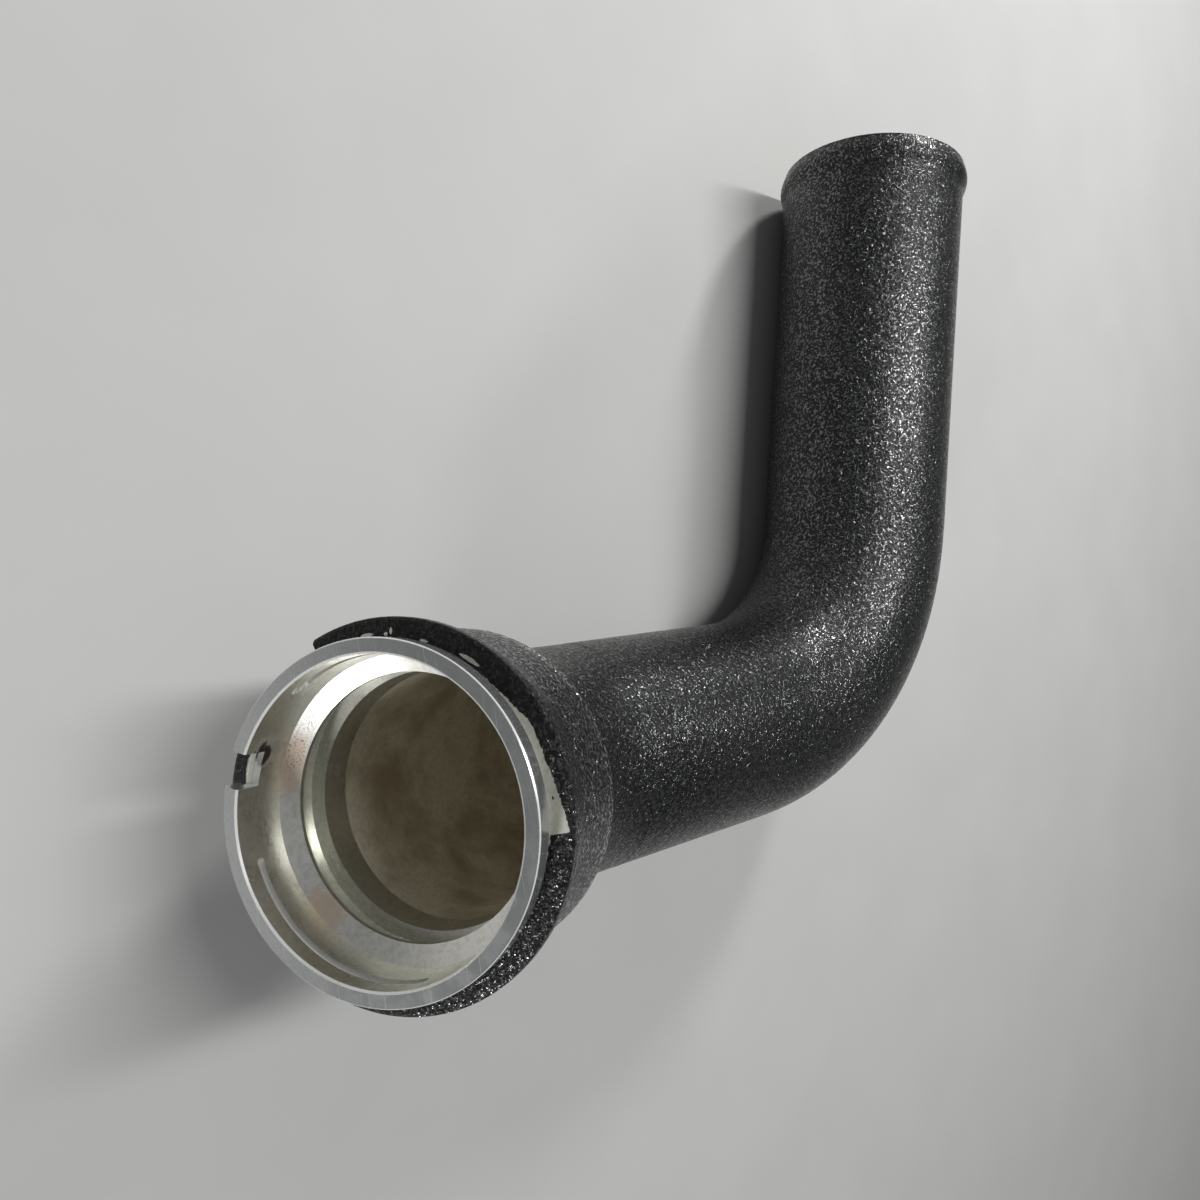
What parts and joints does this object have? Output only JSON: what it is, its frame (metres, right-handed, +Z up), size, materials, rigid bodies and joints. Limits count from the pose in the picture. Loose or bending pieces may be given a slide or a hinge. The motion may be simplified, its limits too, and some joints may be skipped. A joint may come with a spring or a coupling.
{
  "type": "intercooler pipe",
  "caption": "Bent aluminium charge-air pipe with a rolled hose end and a welded quick-connect socket with seal groove, clip slots and notch.",
  "frame": {"origin": "centre of the hose end's face", "axes": "+X out of the hose end along the hose leg, +Z up from the surface that the pipe lies on, +Y from the elbow towards the socket"},
  "size_m": [0.2487, 0.2499, 0.099],
  "materials": {
    "black_coat": "wrinkled satin powder coat",
    "socket_metal": "machined, bright inside and at the mouth, coated black behind the clip groove"
  },
  "bodies": {
    "root": {"bent_tube": "black_coat", "socket": "socket_metal", "weld_bead": "black_coat"}
  },
  "joints": []
}
